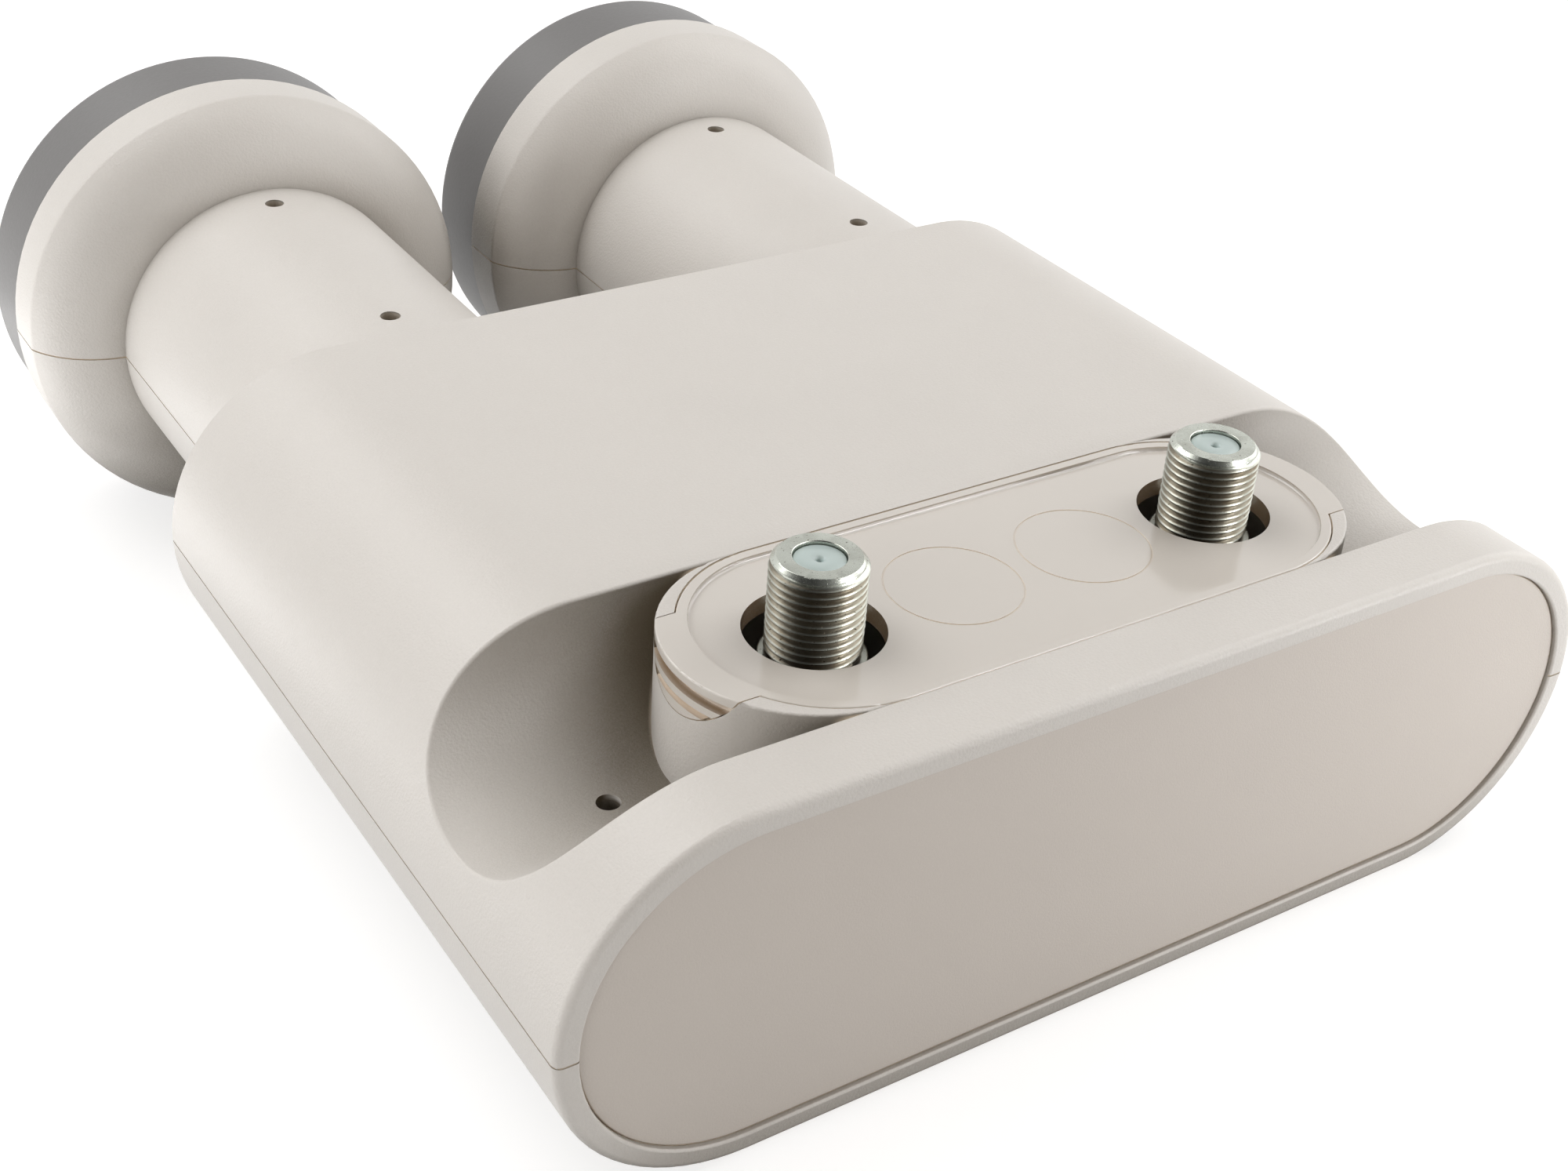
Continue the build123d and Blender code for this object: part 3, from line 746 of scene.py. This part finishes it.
class LNB_OT_sockets(bpy.types.Operator):
    """Build the threaded coaxial sockets and their insulators"""

    bl_idname = "lnb.sockets"
    bl_label = "Coaxial sockets"

    def execute(self, context):
        finish = context.scene.lnb_socket
        plate = nickel_plate(finish)
        tree = thread_tree(plate)
        white = plain_finish("insulator plastic", finish.insulator, 0.32, grain=1.2 * MM, relief=0.004 * MM)
        for side in SIDES:
            mesh, foot_centre, crest, thread_length = socket_body(side, finish)
            piece = link_piece(f"threaded_socket_{side}", mesh, plate)
            thread = piece.modifiers.new("thread", "NODES")
            thread.node_group = tree
            sizes = {
                "Segments": finish.segments,
                "Rows per turn": THREAD_ROWS,
                "Crest radius": crest,
                "Depth": finish.depth,
                "Pitch": finish.pitch,
                "Length": thread_length,
                "Chamfer": finish.chamfer,
                "Foot": finish.foot,
                "Foot centre": foot_centre,
            }
            set_inputs(thread, sizes)
            bake_modifiers(piece)
            even_normals(piece, SOCKET_CREASE)
            seat(piece, "housing", "socket", f"f_connector_{side}")
            insulator = link_piece(f"white_insulator_{side}", insulator_body(side, finish), white)
            even_normals(insulator, INSULATOR_CREASE)
            seat(insulator, "housing", "insulator", f"f_insulator_{side}")
        return {"FINISHED"}


class LNB_OT_inner(bpy.types.Operator):
    """Give the pieces inside the housing their finishes"""

    bl_idname = "lnb.inner"
    bl_label = "Inner pieces"

    def execute(self, context):
        tints = {material["slot"]: material["base_color"][:3] for material in frame["record"]["materials"]}
        finishes = {
            "casting": plain_finish("die casting", tints["casting"], 0.45, metallic=1.0, relief=0.02 * MM),
            "screw": plain_finish("plated steel", tints["screw"], 0.35, metallic=1.0),
            "board": plain_finish("solder mask", tints["board"], 0.4, grain=0.4 * MM),
            "chip": plain_finish("chip package", tints["chip"], 0.5, grain=0.3 * MM),
            "contact": plain_finish("contact brass", tints["contact"], 0.25, metallic=1.0),
            "seal": plain_finish("seal rubber", tints["seal"], 0.6),
        }
        for subpart in frame["record"]["subparts"]:
            finish = finishes.get(subpart["material_slot"])
            if finish:
                for slot in frame["nodes"][subpart["node"]].material_slots:
                    slot.material = finish
        return {"FINISHED"}


def floor_plane():
    """Height and slope of the surface on which the flanges and the near end both rest."""
    lean, end_depth = 0.07, 3 * MM
    points = [vertex.co for vertex in frame["nodes"]["lower_housing"].data.vertices]
    near = min(point.y for point in points)
    end_line = min((p for p in points if p.y < near + end_depth), key=lambda p: p.z - lean * p.y)
    flange_line = min((p for p in points if p.y > 0), key=lambda p: p.z + lean * p.y)
    slope = math.atan2(flange_line.z - end_line.z, flange_line.y - end_line.y)
    height = end_line.z - end_line.y * math.tan(slope)
    return height, slope


def lay_floor(settings):
    """A wide sheet of pale paper under the part, seen brighter than it lights the part."""
    half_width, clearance = 4.0, 0.05 * MM
    height, slope = floor_plane()
    work = bmesh.new()
    bmesh.ops.create_grid(work, x_segments=1, y_segments=1, size=half_width)
    material, shader, start = new_material("pale paper")
    seen = start.node("ShaderNodeLightPath", output="Is Camera Ray")
    mirrored = start.node("ShaderNodeLightPath", output="Is Glossy Ray")
    shader.inputs["Base Color"].default_value = rgba(settings.paper)
    shader.inputs["Roughness"].default_value = 0.9
    shader.inputs["Specular IOR Level"].default_value = 0.0
    shader.inputs["Emission Strength"].default_value = 1.0
    glow = rgba([settings.glow] * 3)
    plug(start.math("MAXIMUM", seen, mirrored).mix((0, 0, 0, 1), glow), shader, "Emission Color")
    floor = link_piece("paper_floor", mesh_from(work, "paper_floor"), material)
    floor.matrix_world = Matrix.Translation((0, 0, height - clearance)) @ Matrix.Rotation(slope, 4, "X")


def light_world(settings):
    """Even light all round, seen as white behind the part and darker overhead and in front in reflections."""
    front_direction = (-0.907, -0.411, 0.0)
    ceiling_dim, front_dim = 0.9, 0.92
    world = bpy.data.worlds.new("white tent")
    world.use_nodes = True
    bpy.context.scene.world = world
    start = Wire(world.node_tree)
    background = next(n for n in world.node_tree.nodes if n.type == "BACKGROUND")
    camera = start.node("ShaderNodeLightPath", output="Is Camera Ray")
    glossy = start.node("ShaderNodeLightPath", output="Is Glossy Ray")
    clear = start.node("ShaderNodeLightPath", output="Is Transmission Ray")
    reflected = start.math("MAXIMUM", glossy, clear)
    sharp = start.math("MAXIMUM", camera, reflected)
    direction = start.node("ShaderNodeTexCoord", output="Generated")
    ceiling = direction.part("Z").above(0.5, rate=3)
    towards = {0: direction, 1: front_direction}
    forward = start.node("ShaderNodeVectorMath", {"operation": "DOT_PRODUCT"}, towards, "Value")
    front = forward.above(0.25, rate=2.8)
    mirrored = reflected * (1 - ceiling_dim * ceiling) * (1 - front_dim * front)
    white = start.math("MAXIMUM", camera, mirrored)
    strength = start.math("MAXIMUM", white, settings.ambient * (1 - sharp))
    tint = sharp.mix(rgba(settings.room), (1, 1, 1, 1))
    world.node_tree.links.new(strength.socket, background.inputs["Strength"])
    world.node_tree.links.new(tint.socket, background.inputs["Color"])


def softbox(lamp, settings):
    """A softbox that faces its aim and isn't seen by the camera."""
    light = bpy.data.lights.new(lamp.name, "AREA")
    light.shape = "SQUARE"
    light.size = lamp.size
    light.energy = lamp.factor * getattr(settings, lamp.setting)
    box = bpy.data.objects.new(lamp.name, light)
    bpy.context.scene.collection.objects.link(box)
    box.location = lamp.place
    facing = Vector(lamp.aim) - Vector(lamp.place)
    box.rotation_euler = facing.to_track_quat("-Z", "Y").to_euler()
    box.visible_camera = False
    for rays in lamp.hidden_from:
        setattr(box, f"visible_{rays}", False)


def set_camera(settings):
    """The camera at the photographed angle."""
    camera = bpy.data.objects.new("camera", bpy.data.cameras.new("camera"))
    bpy.context.scene.collection.objects.link(camera)
    camera.data.sensor_fit = "HORIZONTAL"
    camera.data.sensor_width = 36
    camera.data.lens = settings.lens
    camera.data.clip_start = 10 * MM
    turn = Matrix.Rotation(settings.azimuth, 4, "Z")
    tilt = Matrix.Rotation(math.pi / 2 - settings.elevation, 4, "X")
    roll = Matrix.Rotation(settings.roll, 4, "Z")
    camera.matrix_world = Matrix.Translation(settings.eye) @ turn @ tilt @ roll
    bpy.context.scene.camera = camera


class LNB_OT_stage(bpy.types.Operator):
    """Set up the floor, the light and the camera"""

    bl_idname = "lnb.stage"
    bl_label = "Stage"

    def execute(self, context):
        settings = context.scene.lnb_stage
        context.scene.view_settings.view_transform = "Standard"
        lay_floor(settings)
        light_world(settings)
        for lamp in LAMPS:
            softbox(lamp, settings)
        set_camera(settings)
        return {"FINISHED"}


class LNB_PT_panel(bpy.types.Panel):
    """Sidebar panel that lists the pieces and their settings"""

    bl_idname = "LNB_PT_panel"
    bl_label = "Satellite LNB"
    bl_space_type = "VIEW_3D"
    bl_region_type = "UI"
    bl_category = "LNB"

    def draw(self, context):
        for operator in OPERATORS:
            self.layout.operator(operator.bl_idname)
        for name, group in SETTINGS.items():
            column = self.layout.column(heading=group.__doc__)
            for key in group.__annotations__:
                column.prop(getattr(context.scene, name), key)


OPERATORS = (
    LNB_OT_housing,
    LNB_OT_end_plate,
    LNB_OT_shield,
    LNB_OT_caps,
    LNB_OT_sockets,
    LNB_OT_inner,
    LNB_OT_stage,
)
SETTINGS = {
    "lnb_housing": HousingFinish,
    "lnb_plate": PlateFinish,
    "lnb_shield": ShieldFinish,
    "lnb_cap": CapFinish,
    "lnb_socket": SocketFinish,
    "lnb_stage": StageSettings,
}


def register():
    """Register the settings, the operators and the panel."""
    for name, group in SETTINGS.items():
        bpy.utils.register_class(group)
        setattr(bpy.types.Scene, name, PointerProperty(type=group))
    for operator in OPERATORS:
        bpy.utils.register_class(operator)
    bpy.utils.register_class(LNB_PT_panel)


def unregister():
    """Take the panel, the operators and the settings away again."""
    bpy.utils.unregister_class(LNB_PT_panel)
    for operator in reversed(OPERATORS):
        bpy.utils.unregister_class(operator)
    for name, group in SETTINGS.items():
        delattr(bpy.types.Scene, name)
        bpy.utils.unregister_class(group)


def main():
    """Build every piece and the stage, then write the two boxes."""
    register()
    bpy.ops.lnb.housing()
    bpy.ops.lnb.end_plate()
    bpy.ops.lnb.shield()
    bpy.ops.lnb.caps()
    bpy.ops.lnb.sockets()
    bpy.ops.lnb.inner()
    bpy.ops.lnb.stage()


if __name__ == "__main__":
    main()
